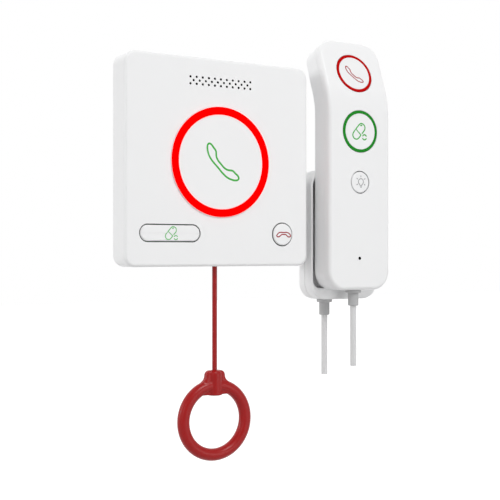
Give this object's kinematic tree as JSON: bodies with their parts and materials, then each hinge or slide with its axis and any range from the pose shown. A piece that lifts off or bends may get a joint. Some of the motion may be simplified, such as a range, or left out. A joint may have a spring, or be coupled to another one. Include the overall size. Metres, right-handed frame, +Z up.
{
  "type": "nurse_call_unit",
  "caption": "Wall nurse call panel with a lit call button, pull cord and ring, and a call handset that hangs on its own wall cradle",
  "frame": {"origin": "on the wall plane, behind the centre of the call panel", "axes": "+X to the right as seen from the room, +Y into the wall, +Z up"},
  "size_m": [0.1752, 0.0302, 0.2536],
  "materials": {
    "white_plastic": "satin moulded plastic",
    "pale_plastic": "satin moulded plastic",
    "steel": "zinc plated",
    "black_plastic": "moulded",
    "gauze": "fine woven",
    "circuit_board": "solder resist",
    "terminal_green": "moulded",
    "lamp": "clear cap",
    "red_light": "translucent, lit",
    "handset_red": "translucent",
    "handset_green": "translucent",
    "red_plastic": "satin gloss",
    "red_cord": "smooth sheath",
    "cable_grey": "soft sheath",
    "silicone": "soft"
  },
  "bodies": {
    "base": {"wall_plate": "pale_plastic", "front_cover": "white_plastic", "cover_screws": "steel", "speaker_gauze": "gauze", "speaker": "steel", "panel_board": "circuit_board", "board_screws": "steel", "terminal_block": "terminal_green", "call_switch": "black_plastic", "key_switches": "black_plastic", "call_leds": "lamp", "call_spring": "steel", "medication_spring": "steel", "cancel_spring": "steel", "cord_bush": "white_plastic", "pull_guide": "pale_plastic", "pull_springs": "steel", "pull_switch": "black_plastic", "cradle_plate": "white_plastic", "cradle_body": "white_plastic", "cradle_screws": "steel", "cradle_magnets": "steel", "cradle_board": "circuit_board", "cradle_strain_relief": "cable_grey", "cradle_cord": "cable_grey"},
    "call_button": {"call_button": "white_plastic", "call_light_ring": "red_light"},
    "medication_button": {"medication_button": "white_plastic"},
    "cancel_button": {"cancel_button": "white_plastic"},
    "pull_cord": {"pull_slider": "white_plastic", "pull_cord": "red_cord", "pull_ring": "red_plastic"},
    "handset": {"handset_back_shell": "white_plastic", "handset_front_shell": "white_plastic", "handset_screws": "steel", "handset_keeper": "steel", "handset_board": "circuit_board", "handset_call_board": "circuit_board", "handset_keypad": "silicone", "handset_call_pad": "silicone", "handset_microphone": "black_plastic", "handset_strain_relief": "cable_grey", "handset_cord": "cable_grey"},
    "handset_call_button": {"handset_call_button": "white_plastic", "handset_call_ring": "handset_red"},
    "handset_medication_button": {"handset_medication_button": "white_plastic", "handset_medication_ring": "handset_green"},
    "handset_light_button": {"handset_light_button": "white_plastic"}
  },
  "joints": [
    {"name": "call_press", "type": "slide", "parent": "base", "child": "call_button", "axis": [0, 1, 0], "range_m": [0, 0.001], "stiffness_N_per_m": 1500, "springref_m": -0.0012, "deforming": ["call_spring"]},
    {"name": "medication_press", "type": "slide", "parent": "base", "child": "medication_button", "axis": [0, 1, 0], "range_m": [0, 0.001], "stiffness_N_per_m": 800, "springref_m": -0.001, "deforming": ["medication_spring"]},
    {"name": "cancel_press", "type": "slide", "parent": "base", "child": "cancel_button", "axis": [0, 1, 0], "range_m": [0, 0.001], "stiffness_N_per_m": 800, "springref_m": -0.001, "deforming": ["cancel_spring"]},
    {"name": "cord_pull", "type": "slide", "parent": "base", "child": "pull_cord", "axis": [0, 0, -1], "range_m": [0, 0.006], "stiffness_N_per_m": 800, "springref_m": -0.004, "deforming": ["pull_springs"]},
    {"name": "handset_lift", "type": "slide", "parent": "base", "child": "handset", "axis": [0, -0.766, 0.6428], "range_m": [0, 0.05]},
    {"name": "handset_call_press", "type": "slide", "parent": "handset", "child": "handset_call_button", "axis": [0, 0.9397, -0.342], "range_m": [0, 0.0008], "stiffness_N_per_m": 800, "springref_m": -0.001},
    {"name": "handset_medication_press", "type": "slide", "parent": "handset", "child": "handset_medication_button", "axis": [0, 1, 0], "range_m": [0, 0.0008], "stiffness_N_per_m": 800, "springref_m": -0.001},
    {"name": "handset_light_press", "type": "slide", "parent": "handset", "child": "handset_light_button", "axis": [0, 1, 0], "range_m": [0, 0.0008], "stiffness_N_per_m": 800, "springref_m": -0.001}
  ]
}
